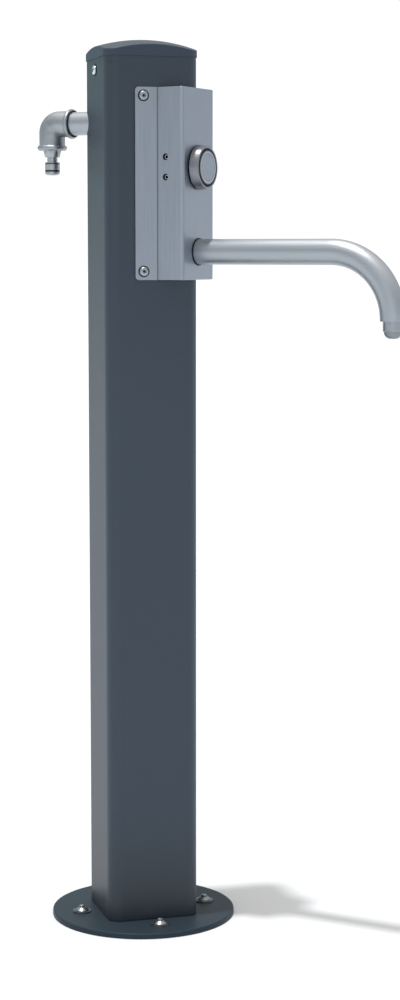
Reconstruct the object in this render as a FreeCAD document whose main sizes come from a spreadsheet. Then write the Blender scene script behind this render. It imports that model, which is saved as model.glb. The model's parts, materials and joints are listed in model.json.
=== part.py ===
import FreeCAD, Part
import os

import Sketcher
from FreeCAD import Placement, Rotation, Vector

# Water column with a push button, in millimetres.
# Origin: centre of the base plate's underside. +Z up, the spout points to -Y and the hose
# outlet to +Y. The square post stands with its corners on the X and Y axes, so its faces
# look along the diagonals, and the valve, spout and hose outlet all lie in the plane X = 0.
# "Reach" is a distance from the post's axis, towards the spout or towards the hose outlet.

SIZES = {
    # post and base plate
    "post_side": 100,
    "post_wall": 3,
    "post_corner": 14,
    "post_length": 924,
    "plate_diameter": 200,
    "plate_thickness": 6,
    "plate_edge": 1.5,
    "anchor_circle": 140,
    "anchor_hole": 11,
    "supply_hole": 36,
    "weld_leg": 3.5,
    "weld_land": 0.3,
    # window in the post's front corner, measured from the valve body and the spout elbow
    "window_side_gap": 8,
    "window_foot_gap": 4,
    "window_head_gap": 12,
    # washers and cone nuts of the ground anchors
    "washer_diameter": 20,
    "washer_hole": 8.4,
    "washer_thickness": 1.5,
    "cone_nut_diameter": 15,
    "cone_nut_rim": 0.8,
    "cone_nut_shoulder": 8.4,
    "cone_nut_height": 3.6,
    "cone_nut_thread": 6.8,
    "cone_nut_thread_depth": 2.8,
    "cone_nut_tip": 6.4,
    "cone_nut_tip_height": 2.2,
    "cone_nut_tip_edge": 1,
    # domed cap
    "cap_overhang": 1,
    "cap_rise": 20,
    "cap_dome_radius": 172,
    "cap_wall": 3,
    "cap_edge": 1.2,
    "cap_skirt_depth": 26,
    "cap_skirt_gap": 0.3,
    "cap_screw_drop": 12,
    # folded valve housing
    "housing_stand": 5.1,
    "housing_width": 68,
    "housing_height": 200,
    "housing_top_drop": 32,
    "housing_wall": 2,
    "housing_bend": 4,
    "housing_edge": 0.6,
    "flange_width": 24,
    "flange_corner": 4,
    "flange_screw_margin": 9,
    "notch_gap": 0.3,
    # button-head screws of the housing and the cap, with their weld nuts
    "screw_head": 10,
    "screw_head_height": 2.8,
    "screw_head_lip": 0.8,
    "screw_crown": 5.6,
    "screw_shank": 6,
    "screw_key": 4,
    "screw_key_depth": 1.8,
    "housing_screw_length": 12,
    "cap_screw_length": 8,
    "screw_gap": 0.3,
    "thread_gap": 0.05,
    "weld_nut_diameter": 12,
    "weld_nut_thickness": 5,
    # recessed screws in the housing's sides, which hold the yoke
    "side_hole": 7,
    "side_screw": 5,
    "side_screw_chamfer": 0.3,
    "side_screw_key": 3,
    "side_screw_key_depth": 4,
    "side_screw_length": 8,
    "side_screw_inset": 2.5,
    "side_screw_spacing": 21,
    "side_screw_setback": 20.8,
    # yoke
    "yoke_wall": 3,
    "yoke_height": 38,
    "yoke_depth": 16,
    "yoke_gap": 0.2,
    # button and its bezel
    "button_top_drop": 82.5,
    "button_diameter": 37,
    "button_thickness": 3.2,
    "button_rim": 2,
    "button_proud": 0.4,
    "bezel_diameter": 47,
    "bezel_front_diameter": 44,
    "bezel_opening": 40,
    "bezel_depth": 10.2,
    "bezel_floor": 2,
    "bezel_edge": 0.8,
    "bezel_gasket": 0.8,
    "wiper_setback": 0.9,
    "wiper_length": 3,
    "wiper_gap": 0.3,
    # valve
    "stem_diameter": 8,
    "stem_gap": 0.05,
    "barrel_diameter": 24,
    "barrel_bore": 18,
    "barrel_length": 33.5,
    "barrel_guide": 8.8,
    "barrel_seat": 3,
    "seat_bore": 12,
    "seal_gap": 0.3,
    "seal_diameter": 17,
    "seal_thickness": 2.5,
    "piston_thickness": 3,
    "piston_boss": 9,
    "piston_boss_length": 2.4,
    "piston_spigot": 6,
    "nut_face_inset": 0.2,
    "barrel_nut_flats": 32,
    "barrel_nut_thickness": 5,
    "valve_body_diameter": 34,
    "valve_body_setback": 13,
    "valve_chamber": 20,
    "valve_back_wall": 4,
    "valve_spigot": 18,
    "valve_spigot_length": 9,
    "valve_passage": 11,
    "spring_mean": 13,
    "spring_wire": 1.2,
    "spring_turns": 3.5,
    "spring_gap": 0.15,
    # water way from the valve down to the spout
    "outlet_setback": 22,
    "outlet_boss": 18,
    "outlet_boss_drop": 24,
    "outlet_tube": 12,
    "outlet_tube_wall": 1.2,
    "outlet_socket": 8,
    "socket_gap": 0.1,
    # spout
    "spout_foot_rise": 29.5,
    "spout_diameter": 26.9,
    "spout_wall": 2,
    "spout_bend": 69,
    "spout_stand": 224,
    "spout_drop": 1,
    "spout_insert": 13,
    "spout_elbow_diameter": 34,
    "spout_elbow_tail": 14,
    "spout_elbow_rise": 26,
    "spout_passage": 20,
    "spout_ring_diameter": 40,
    "spout_ring_thickness": 2,
    "spout_hole_gap": 0.6,
    "o_ring_section": 1.4,
    "o_ring_setback": 3.5,
    "nozzle_diameter": 20.8,
    "nozzle_length": 10.5,
    "nozzle_spigot": 5,
    "nozzle_bore": 15,
    "nozzle_edge": 1,
    "insert_spigot": 4,
    "insert_depth": 7,
    "insert_face": 7.6,
    "insert_bore": 4.4,
    # supply pipe
    "riser_diameter": 21.3,
    "riser_wall": 2.6,
    "riser_insert": 12,
    "inlet_thread": 18.6,
    "inlet_thread_depth": 16,
    "inlet_flange": 70,
    "inlet_flange_thickness": 5,
    "inlet_hub": 32,
    "inlet_hub_rise": 30,
    "inlet_hub_gap": 0.5,
    "inlet_lift": 0.5,
    "inlet_screw_circle": 52,
    "inlet_screw": 5,
    "inlet_screw_head": 8.5,
    "inlet_screw_head_height": 3,
    "inlet_screw_depth": 3.5,
    "tee_diameter": 28,
    "tee_arm": 24,
    "tee_front_arm": 15,
    "tee_front_diameter": 26,
    # hose outlet
    "hose_top_drop": 65,
    "hose_stand": 47.1,
    "hose_pipe_diameter": 25,
    "hose_pipe_wall": 2.5,
    "hose_socket": 12,
    "feed_elbow_diameter": 31,
    "feed_elbow_arm": 24,
    "grommet_wall": 0.6,
    "grommet_length": 13,
    "grommet_setback": 0.4,
    "elbow_arm": 28,
    "elbow_diameter": 28,
    "elbow_bend": 9.4,
    "elbow_passage": 16,
    "elbow_bead": 32.2,
    "elbow_bead_width": 5.6,
    "elbow_mouth": 28.6,
    "elbow_mouth_depth": 3.6,
    "plug_thread": 20.9,
    "plug_thread_length": 11,
    "plug_collar": 19.4,
    "plug_collar_end": 16.2,
    "plug_collar_flats": 17.6,
    "plug_collar_length": 7.2,
    "plug_neck": 11.2,
    "plug_neck_length": 5.4,
    "plug_head": 16,
    "plug_head_length": 13.8,
    "plug_head_chamfer": 1.6,
    "plug_lip": 1.2,
    "plug_lip_chamfer": 0.5,
    "plug_slot_width": 1,
    "plug_slot_depth": 1.2,
    "plug_bore": 8,
    "plug_ring_height": 4.4,
    "plug_ring_width": 1.8,
}

doc = FreeCAD.newDocument("water_column")
sheet = doc.addObject("Spreadsheet::Sheet", "Sizes")


class Size:
    """A number together with the sheet formula that gives it, so a sketch and its binding agree."""

    def __init__(self, value, formula):
        self.value = value
        self.formula = formula

    def __add__(self, other):
        other = as_size(other)
        return Size(self.value + other.value, f"({self.formula} + {other.formula})")

    def __sub__(self, other):
        other = as_size(other)
        return Size(self.value - other.value, f"({self.formula} - {other.formula})")

    def __mul__(self, other):
        other = as_size(other)
        return Size(self.value * other.value, f"({self.formula} * {other.formula})")

    def __truediv__(self, other):
        other = as_size(other)
        return Size(self.value / other.value, f"({self.formula} / {other.formula})")

    def __neg__(self):
        return Size(-self.value, f"(0 - {self.formula})")


def as_size(item):
    if isinstance(item, Size):
        return item
    return Size(float(item), f"({float(item)})")


def root(size):
    return Size(size.value ** 0.5, f"sqrt({size.formula})")


class Names:
    """Holds each driving dimension of the sheet under its own name."""


s = Names()
for row, (name, number) in enumerate(SIZES.items(), start=1):
    sheet.set(f"A{row}", name)
    sheet.set(f"B{row}", str(number))
    sheet.setAlias(f"B{row}", name)
    setattr(s, name, Size(float(number), f"Sizes.{name}"))
doc.recompute()

ROOT2 = root(as_size(2))
ROOT3 = root(as_size(3))
ZERO = as_size(0)

# Directions of a piece whose own axis is local Z.
UP = Rotation()
DOWN = Rotation(Vector(1, 0, 0), 180)
TO_SPOUT = Rotation(Vector(1, 0, 0), 90)
TO_HOSE = Rotation(Vector(1, 0, 0), -90)
TO_LEFT = Rotation(Vector(0, 1, 0), -90)
TO_RIGHT = Rotation(Vector(0, 1, 0), 90)
FACE_TURN = 45  # degrees from the spout's direction to a post face
UPWARD = 1
DOWNWARD = -1


def about_z(degrees):
    return Rotation(Vector(0, 0, 1), degrees)


# Heights and reaches that several pieces share.
post_half = s.post_side / 2
post_top = s.plate_thickness + s.post_length
post_inner = post_half - s.post_wall
post_inner_corner = s.post_corner - s.post_wall
post_nose = (post_half - s.post_corner) * ROOT2 + s.post_corner
post_edge = post_half * ROOT2
housing_half = s.housing_width / 2
housing_reach = post_nose + s.housing_stand
housing_top = post_top - s.housing_top_drop
housing_bottom = housing_top - s.housing_height
housing_inside = housing_reach - s.housing_wall
button_height = housing_top - s.button_top_drop
spout_height = housing_bottom + s.spout_foot_rise
spout_reach = housing_reach + s.spout_stand
hose_height = post_top - s.hose_top_drop
hose_reach = post_nose + s.hose_stand
hose_hole = s.hose_pipe_diameter / 2 + s.grommet_wall + s.socket_gap * 2
flange_face = post_half + s.housing_wall
flange_fold = flange_face - housing_half * ROOT2
flange_edge = flange_fold - s.flange_width
flange_screw = flange_edge + s.flange_screw_margin
side_screw_reach = housing_reach - s.side_screw_setback
outlet_reach = housing_reach - s.outlet_setback
cap_screw_height = post_top - s.cap_screw_drop
valve_body_reach = housing_reach - s.valve_body_setback
bezel_back = housing_reach + s.bezel_gasket
bezel_floor_reach = bezel_back + s.bezel_floor
bezel_front = bezel_back + s.bezel_depth
button_front = bezel_front + s.button_proud
button_back = button_front - s.button_thickness
barrel_back = bezel_floor_reach - s.barrel_length
seal_front = barrel_back - s.seal_gap
seal_back = seal_front - s.seal_thickness
piston_back = seal_back - s.piston_thickness
valve_body_back = s.tee_front_arm
chamber_back = valve_body_back + s.valve_back_wall
outlet_tube_top = button_height - s.outlet_boss_drop + s.outlet_socket
spout_elbow_top = spout_height + s.spout_elbow_rise
spout_elbow_front = housing_inside - s.spout_ring_thickness
spout_tube_back = spout_elbow_front - s.spout_insert
spout_end = spout_height - s.spout_bend - s.spout_drop
inlet_hub_top = s.plate_thickness + s.inlet_hub_rise
riser_bottom = inlet_hub_top - s.riser_insert
tee_bottom = button_height - s.tee_arm
tee_top = button_height + s.tee_arm
feed_elbow_bottom = hose_height - s.feed_elbow_arm
hose_pipe_back = s.feed_elbow_arm - s.hose_socket
elbow_end = hose_reach - s.elbow_arm
elbow_bottom = hose_height - s.elbow_arm


def bind(item, path, size):
    item.setExpression(path, as_size(size).formula)


def place(item, x, y, z, rotation):
    """Put a piece at a point that follows the sheet."""
    x, y, z = as_size(x), as_size(y), as_size(z)
    item.Placement = Placement(Vector(x.value, y.value, z.value), rotation)
    bind(item, "Placement.Base.x", x)
    bind(item, "Placement.Base.y", y)
    bind(item, "Placement.Base.z", z)


def new_body(label):
    body = doc.addObject("PartDesign::Body", label)
    body.Label = label
    return body


def origin_item(body, role):
    for item in body.Origin.OriginFeatures:
        if item.Role == role:
            return item
    raise ValueError(role)


def new_sketch(body, plane, offset=0, turn=None):
    """A sketch on an origin plane, moved along its normal and turned about its own axes."""
    offset = as_size(offset)
    sketch = body.newObject("Sketcher::SketchObject", f"{body.Name}_sketch")
    sketch.AttachmentSupport = [(origin_item(body, plane), "")]
    sketch.MapMode = "FlatFace"
    sketch.AttachmentOffset = Placement(Vector(0, 0, offset.value), turn or Rotation())
    bind(sketch, "AttachmentOffset.Base.z", offset)
    return sketch


def fix_point(sketch, geometry, end, x, y):
    """Tie a point of the sketch to its distances from the origin."""
    for kind, size in (("DistanceX", as_size(x)), ("DistanceY", as_size(y))):
        rule = Sketcher.Constraint(kind, -1, 1, geometry, end, size.value)
        bind(sketch, f"Constraints[{sketch.addConstraint(rule)}]", size)


def arc_between(start, finish, radius):
    """The shorter arc from start to finish: anticlockwise for a positive radius."""
    chord = finish - start
    middle = (start + finish) * 0.5
    left = Vector(-chord.y, chord.x, 0).normalize()
    rise = max(radius * radius - chord.Length * chord.Length / 4, 0) ** 0.5
    side = 1 if radius > 0 else -1
    centre = middle + left * (rise * side)
    circle = Part.Circle(centre, Vector(0, 0, 1), abs(radius))
    first, last = (start, finish) if side > 0 else (finish, start)
    return Part.ArcOfCircle(circle, circle.parameter(first), circle.parameter(last))


def draw_outline(sketch, corners, closed=True):
    """Lines through the corners. A corner (x, y, radius) sends an arc to the next corner."""
    points = [Vector(as_size(c[0]).value, as_size(c[1]).value, 0) for c in corners]
    count = len(corners) if closed else len(corners) - 1
    ends = []
    for i in range(count):
        start, finish = points[i], points[(i + 1) % len(points)]
        radius = as_size(corners[i][2]) if len(corners[i]) == 3 else None
        if radius is None:
            index = sketch.addGeometry(Part.LineSegment(start, finish), False)
            ends.append((index, 1, 2))
            continue
        index = sketch.addGeometry(arc_between(start, finish, radius.value), False)
        ends.append((index, 1, 2) if radius.value > 0 else (index, 2, 1))
        bulge = radius if radius.value > 0 else -radius
        rule = Sketcher.Constraint("Radius", index, bulge.value)
        bind(sketch, f"Constraints[{sketch.addConstraint(rule)}]", bulge)
    for i in range(count if closed else count - 1):
        here, after = ends[i], ends[(i + 1) % count]
        sketch.addConstraint(
            Sketcher.Constraint("Coincident", here[0], here[2], after[0], after[1])
        )
    for i in range(count):
        fix_point(sketch, ends[i][0], ends[i][1], corners[i][0], corners[i][1])
    if not closed:
        fix_point(sketch, ends[-1][0], ends[-1][2], corners[-1][0], corners[-1][1])


def draw_circle(sketch, x, y, radius):
    x, y, radius = as_size(x), as_size(y), as_size(radius)
    circle = Part.Circle(Vector(x.value, y.value, 0), Vector(0, 0, 1), radius.value)
    index = sketch.addGeometry(circle, False)
    fix_point(sketch, index, 3, x, y)
    rule = Sketcher.Constraint("Radius", index, radius.value)
    bind(sketch, f"Constraints[{sketch.addConstraint(rule)}]", radius)


def draw_hexagon(sketch, flats):
    """A hexagon about the origin, with two corners on the sketch's X axis."""
    reach = flats / ROOT3
    corners = [
        (reach, ZERO),
        (reach / 2, flats / 2),
        (-reach / 2, flats / 2),
        (-reach, ZERO),
        (-reach / 2, -flats / 2),
        (reach / 2, -flats / 2),
    ]
    draw_outline(sketch, corners)


def grow(body, kind, sketch, length, reverse=False, both=False):
    """A Pad or Pocket of the sketch, which must change the solid's volume."""
    before = body.Shape.Volume if body.Tip else 0
    feature = body.newObject(f"PartDesign::{kind}", f"{body.Name}_{kind.lower()}")
    feature.Profile = sketch
    feature.Length = as_size(length).value
    bind(feature, "Length", length)
    feature.Reversed = reverse
    feature.Midplane = both
    return settle(body, feature, before)


def spin(body, kind, sketch, angle=360, axis="V_Axis", reverse=False):
    """A Revolution or Groove of the sketch about one of its axes."""
    before = body.Shape.Volume if body.Tip else 0
    feature = body.newObject(f"PartDesign::{kind}", f"{body.Name}_{kind.lower()}")
    feature.Profile = sketch
    feature.ReferenceAxis = (sketch, [axis])
    feature.Angle = angle
    feature.Reversed = reverse
    return settle(body, feature, before)


def settle(body, feature, before):
    """Recompute, and stop if the feature added or cut nothing."""
    body.Tip = feature
    doc.recompute()
    if abs(body.Shape.Volume - before) < 1e-6:
        raise ValueError(f"{feature.Name} changes nothing")
    return feature


def repeat_round(body, features, count, axis="Z_Axis"):
    before = body.Shape.Volume
    pattern = body.newObject("PartDesign::PolarPattern", f"{body.Name}_pattern")
    pattern.Originals = features
    pattern.Axis = (origin_item(body, axis), [""])
    pattern.Angle = 360
    pattern.Occurrences = count
    return settle(body, pattern, before)


def mirror(body, features, plane):
    before = body.Shape.Volume
    copy = body.newObject("PartDesign::Mirrored", f"{body.Name}_mirror")
    copy.Originals = features
    copy.MirrorPlane = (origin_item(body, plane), [""])
    return settle(body, copy, before)


def dress(body, kind, size, chosen):
    """Fillet or chamfer the edges that the test picks from the body's present shape."""
    before = body.Shape.Volume
    picked = []
    for number, edge in enumerate(body.Shape.Edges, start=1):
        if chosen(edge):
            picked.append(f"Edge{number}")
    if not picked:
        raise ValueError(f"{body.Name} has no such edge")
    base = body.Tip
    feature = body.newObject(f"PartDesign::{kind}", f"{body.Name}_{kind.lower()}")
    feature.Base = (base, picked)
    path = "Radius" if kind == "Fillet" else "Size"
    bind(feature, path, size)
    return settle(body, feature, before)


def turned(label, corners):
    """A body of revolution: corners are (radius, height) about its own Z axis."""
    body = new_body(label)
    sketch = new_sketch(body, "XZ_Plane")
    draw_outline(sketch, corners)
    spin(body, "Revolution", sketch)
    return body


def ring(inner, outer, low, high):
    """Corners of a plain ring for turned()."""
    return [(inner, low), (outer, low), (outer, high), (inner, high)]


def bore(body, radius, low, high):
    """Cut a round hole along the body's own Z axis."""
    sketch = new_sketch(body, "XY_Plane", low)
    draw_circle(sketch, ZERO, ZERO, radius)
    return grow(body, "Pocket", sketch, as_size(high) - low, reverse=True)


def cross_hole(body, plane, x, y, radius, length, reverse=False, turn=None, both=False):
    """Cut a round hole square to an origin plane, from that plane outwards."""
    sketch = new_sketch(body, plane, turn=turn)
    draw_circle(sketch, x, y, radius)
    return grow(body, "Pocket", sketch, length, reverse, both)


def face_point(across, out):
    """A plan point from its place along the left front face and its distance out from the axis."""
    return (across - out) / ROOT2, -(across + out) / ROOT2


def post_outline(half, corner):
    """Plan corners of a square with rounded corners that stands on its diagonals."""
    flat = half - corner
    pairs = [(flat, half), (half, flat), (half, -flat), (flat, -half)]
    pairs += [(-flat, -half), (-half, -flat), (-half, flat), (-flat, half)]
    corners = []
    for number, (across, out) in enumerate(pairs):
        x, y = face_point(across, out)
        corners.append((x, y, corner) if number % 2 == 0 else (x, y))
    return corners


def lies_at(edge, height):
    box = edge.BoundBox
    return abs(box.ZMin - height.value) < 0.01 and abs(box.ZMax - height.value) < 0.01


def base_plate():
    """Round foot with four anchor holes, a supply hole and tapped holes for the inlet."""
    body = new_body("base_plate")
    sketch = new_sketch(body, "XY_Plane")
    draw_circle(sketch, ZERO, ZERO, s.plate_diameter / 2)
    draw_circle(sketch, ZERO, ZERO, s.supply_hole / 2)
    grow(body, "Pad", sketch, s.plate_thickness)
    rim = s.plate_diameter.value / 2
    dress(
        body,
        "Fillet",
        s.plate_edge,
        lambda e: lies_at(e, s.plate_thickness) and abs(e.BoundBox.XMax - rim) < 0.1,
    )
    turn = about_z(FACE_TURN)
    sketch = new_sketch(body, "XY_Plane", turn=turn)
    draw_circle(sketch, s.anchor_circle / 2, ZERO, s.anchor_hole / 2)
    hole = grow(body, "Pocket", sketch, s.plate_thickness, reverse=True)
    repeat_round(body, [hole], 4)
    sketch = new_sketch(body, "XY_Plane", s.plate_thickness)
    draw_circle(sketch, s.inlet_screw_circle / 2, ZERO, s.inlet_screw / 2 + s.thread_gap)
    hole = grow(body, "Pocket", sketch, s.inlet_screw_depth + s.screw_gap)
    repeat_round(body, [hole], 4)
    return body


def post():
    """Square tube with a window behind the housing and a hole for the hose pipe."""
    body = new_body("post")
    sketch = new_sketch(body, "XY_Plane", s.plate_thickness)
    draw_outline(sketch, post_outline(post_half, s.post_corner))
    draw_outline(sketch, post_outline(post_inner, post_inner_corner))
    grow(body, "Pad", sketch, s.post_length)
    window_half = s.valve_body_diameter / 2 + s.window_side_gap
    low = spout_height - s.spout_elbow_diameter / 2 - s.window_foot_gap
    high = button_height + s.valve_body_diameter / 2 + s.window_head_gap
    sketch = new_sketch(body, "XZ_Plane")
    corners = [(-window_half, low), (window_half, low), (window_half, high), (-window_half, high)]
    draw_outline(sketch, corners)
    grow(body, "Pocket", sketch, s.post_side, reverse=True)
    cross_hole(body, "XZ_Plane", ZERO, hose_height, hose_hole, s.post_side)
    tapped = s.screw_shank / 2 + s.screw_gap
    heights = (
        housing_bottom + s.flange_screw_margin,
        housing_top - s.flange_screw_margin,
    )
    for height in heights:
        for side in (-1, 1):
            turn = Rotation(Vector(0, 1, 0), FACE_TURN * side)
            across = flange_screw if side < 0 else -flange_screw
            cross_hole(body, "XZ_Plane", across, height, tapped, s.post_side, True, turn)
    turn = Rotation(Vector(0, 1, 0), FACE_TURN)
    cross_hole(
        body, "XZ_Plane", ZERO, cap_screw_height, tapped, s.post_side * 2, False, turn, True
    )
    return body


def foot_weld():
    """Weld bead inside the foot of the post."""
    body = new_body("foot_weld")
    sketch = new_sketch(body, "XY_Plane", s.plate_thickness)
    draw_outline(sketch, post_outline(post_inner, post_inner_corner))
    inner = post_inner - s.weld_leg
    draw_outline(sketch, post_outline(inner, post_inner_corner - s.weld_leg))
    grow(body, "Pad", sketch, s.weld_leg)
    top = s.plate_thickness + s.weld_leg
    limit = inner.value * ROOT2.value
    dress(
        body,
        "Chamfer",
        s.weld_leg - s.weld_land,
        lambda e: lies_at(e, top) and edge_reach(e) < limit,
    )
    return body


def edge_reach(edge):
    """Distance of an edge's middle from the post's nearest face direction, times the root of two."""
    middle = edge.valueAt((edge.FirstParameter + edge.LastParameter) / 2)
    return abs(middle.x) + abs(middle.y)


def post_cap():
    """Square cap whose top is part of a sphere, hollow inside, with a skirt in the post."""
    body = new_body("post_cap")
    half = post_half + s.cap_overhang
    corner = s.post_corner + s.cap_overhang
    sketch = new_sketch(body, "XY_Plane", post_top)
    draw_outline(sketch, post_outline(half, corner))
    grow(body, "Pad", sketch, s.cap_rise)
    wide = half * 2
    top = post_top + s.cap_rise
    fall = s.cap_dome_radius - root(s.cap_dome_radius * s.cap_dome_radius - wide * wide)
    sketch = new_sketch(body, "XZ_Plane")
    corners = [
        (ZERO, top, -s.cap_dome_radius),
        (wide, top - fall),
        (wide, top + s.cap_wall),
        (ZERO, top + s.cap_wall),
    ]
    draw_outline(sketch, corners)
    spin(body, "Groove", sketch)
    dome = s.cap_dome_radius.value

    def on_rim(edge):
        middle = edge.valueAt((edge.FirstParameter + edge.LastParameter) / 2)
        centre = Vector(0, 0, top.value - dome)
        ends = [v.Point for v in edge.Vertexes]
        return abs((middle - centre).Length - dome) < 0.01 and all(
            abs((p - centre).Length - dome) < 0.01 for p in ends
        )

    dress(body, "Fillet", s.cap_edge, on_rim)
    hollow = post_inner - s.cap_wall
    inside = s.cap_dome_radius - s.cap_wall
    drop = inside - root(inside * inside - hollow * hollow)
    sketch = new_sketch(body, "XZ_Plane")
    corners = [
        (ZERO, post_top),
        (hollow, post_top),
        (hollow, top - s.cap_wall - drop, inside),
        (ZERO, top - s.cap_wall),
    ]
    draw_outline(sketch, corners)
    spin(body, "Groove", sketch)
    skirt = post_inner - s.cap_skirt_gap
    skirt_corner = post_inner_corner - s.cap_skirt_gap
    sketch = new_sketch(body, "XY_Plane", post_top - s.cap_skirt_depth)
    draw_outline(sketch, post_outline(skirt, skirt_corner))
    draw_outline(sketch, post_outline(skirt - s.cap_wall, skirt_corner - s.cap_wall))
    grow(body, "Pad", sketch, s.cap_skirt_depth)
    turn = Rotation(Vector(0, 1, 0), FACE_TURN)
    tapped = s.screw_shank / 2 + s.thread_gap
    cross_hole(
        body, "XZ_Plane", ZERO, cap_screw_height, tapped, s.post_side * 2, False, turn, True
    )
    return body


def valve_housing():
    """Folded cover on the post's front corner: flanges, side walls, front and end plates."""
    body = new_body("valve_housing")
    bend = s.housing_bend
    wall = s.housing_wall
    fold_y = -(flange_face * ROOT2 - housing_half)
    edge_in = face_point(flange_edge, post_half)
    edge_out = face_point(flange_edge, flange_face)
    notch = post_nose + s.notch_gap
    notch_half = post_edge - notch
    left = [
        edge_in,
        edge_out,
        (-housing_half, fold_y),
        (-housing_half, bend - housing_reach, bend),
        (bend - housing_half, -housing_reach),
    ]
    right = [
        (housing_half - bend, -housing_reach, bend),
        (housing_half, bend - housing_reach),
        (housing_half, fold_y),
        (-edge_out[0], edge_out[1]),
        (-edge_in[0], edge_in[1]),
        (notch_half, -notch),
        (-notch_half, -notch),
    ]
    sketch = new_sketch(body, "XY_Plane", housing_bottom)
    draw_outline(sketch, left + right)
    grow(body, "Pad", sketch, s.housing_height)
    dress(body, "Fillet", s.flange_corner, is_flange_corner)
    dress(body, "Fillet", s.housing_edge, is_front_edge)
    inner = housing_half - wall
    inner_bend = bend - wall
    back = post_edge - inner
    sketch = new_sketch(body, "XY_Plane", housing_bottom + wall)
    corners = [
        (-inner, -back),
        (-inner, inner_bend - housing_inside, inner_bend),
        (inner_bend - inner, -housing_inside),
        (inner - inner_bend, -housing_inside, inner_bend),
        (inner, inner_bend - housing_inside),
        (inner, -back),
    ]
    draw_outline(sketch, corners)
    grow(body, "Pocket", sketch, s.housing_height - wall * 2, reverse=True)
    reach = housing_reach * 2
    barrel_hole = s.barrel_diameter / 2 + s.screw_gap
    cross_hole(body, "XZ_Plane", ZERO, button_height, barrel_hole, reach, True)
    spout_hole = s.spout_diameter / 2 + s.spout_hole_gap
    cross_hole(body, "XZ_Plane", ZERO, spout_height, spout_hole, reach, True)
    for side in (-1, 1):
        height = button_height + s.side_screw_spacing / 2 * side
        cross_hole(
            body, "YZ_Plane", -side_screw_reach, height, s.side_hole / 2, reach, both=True
        )
    turn = Rotation(Vector(0, 1, 0), -FACE_TURN)
    hole = s.screw_shank / 2 + s.screw_gap
    low = housing_bottom + s.flange_screw_margin
    high = housing_top - s.flange_screw_margin
    cuts = [
        cross_hole(body, "XZ_Plane", flange_screw, height, hole, s.post_side, True, turn)
        for height in (low, high)
    ]
    mirror(body, cuts, "YZ_Plane")
    return body


def is_flange_corner(edge):
    """The flange's four outer corners, which run square to the post's faces."""
    along = edge.tangentAt(edge.FirstParameter)
    middle = edge.CenterOfMass
    ends = (housing_bottom.value, housing_top.value)
    at_end = any(abs(middle.z - height) < 0.01 for height in ends)
    slanted = abs(abs(along.x) - abs(along.y)) < 0.01 and abs(along.z) < 0.01
    short = edge.Length < s.housing_wall.value + 0.01
    return at_end and slanted and short


def is_front_edge(edge):
    """The housing's outer edges at both ends: front, side walls and flanges."""
    middle = edge.valueAt((edge.FirstParameter + edge.LastParameter) / 2)
    ends = (housing_bottom.value, housing_top.value)
    box = edge.BoundBox
    at_end = any(
        abs(box.ZMin - height) < 0.01 and abs(box.ZMax - height) < 0.01 for height in ends
    )
    out = -(middle.y + abs(middle.x)) / 2 ** 0.5
    across = abs(out - flange_face.value) < 0.01 and not abs(middle.x) < 1
    front = abs(middle.y + housing_reach.value) < 0.01
    side = abs(abs(middle.x) - housing_half.value) < 0.01
    bend = s.housing_bend.value
    centre = Vector(housing_half.value - bend, bend - housing_reach.value, middle.z)
    on_bend = abs((Vector(abs(middle.x), middle.y, middle.z) - centre).Length - bend) < 0.01
    return at_end and (across or front or side or on_bend)


def screw_form(label, length):
    """One button-head screw with a hexagon socket, its head's seat at height 0."""
    head = s.screw_head / 2
    shank = s.screw_shank / 2
    flat = s.screw_crown / 2
    lip = s.screw_head_lip
    rise = s.screw_head_height - lip
    run = head - flat
    dome = (run * run + rise * rise) / (rise * 2)
    corners = [
        (ZERO, -length),
        (shank, -length),
        (shank, ZERO),
        (head, ZERO),
        (head, lip, dome),
        (flat, s.screw_head_height),
        (ZERO, s.screw_head_height),
    ]
    body = turned(label, corners)
    sketch = new_sketch(body, "XY_Plane", s.screw_head_height)
    draw_hexagon(sketch, s.screw_key)
    grow(body, "Pocket", sketch, s.screw_key_depth)
    return body


def copies(label, form, places):
    """A group of like pieces: one solid for each place (x, y, z, rotation)."""
    links = []
    for number, (x, y, z, rotation) in enumerate(places, start=1):
        link = doc.addObject("App::Link", f"{label}_{number}")
        link.LinkedObject = form
        place(link, x, y, z, rotation)
        links.append(link)
    group = doc.addObject("Part::Compound", label)
    group.Label = label
    group.Links = links
    return group


def on_front_faces(out):
    """The four housing screw places, on both front faces, at a distance from the axis."""
    places = []
    x, y = face_point(flange_screw, out)
    for height in (
        housing_bottom + s.flange_screw_margin,
        housing_top - s.flange_screw_margin,
    ):
        places.append((x, y, height, about_z(-FACE_TURN) * TO_SPOUT))
        places.append((-x, y, height, about_z(FACE_TURN) * TO_SPOUT))
    return places


def housing_screws():
    form = screw_form("housing_screw_form", s.housing_screw_length)
    return copies("housing_screws", form, on_front_faces(flange_face))


def housing_weld_nuts():
    """Round nuts welded inside the post behind the housing's flanges."""
    low = -s.weld_nut_thickness
    thread = s.screw_shank / 2 + s.thread_gap
    corners = ring(thread, s.weld_nut_diameter / 2, low, ZERO)
    form = turned("weld_nut_form", corners)
    return copies("housing_weld_nuts", form, on_front_faces(post_inner))


def cap_screws():
    form = screw_form("cap_screw_form", s.cap_screw_length)
    x, y = face_point(post_half, ZERO)
    places = [
        (x, y, cap_screw_height, about_z(FACE_TURN) * TO_SPOUT),
        (-x, -y, cap_screw_height, about_z(FACE_TURN - 180) * TO_SPOUT),
    ]
    return copies("cap_screws", form, places)


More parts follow.
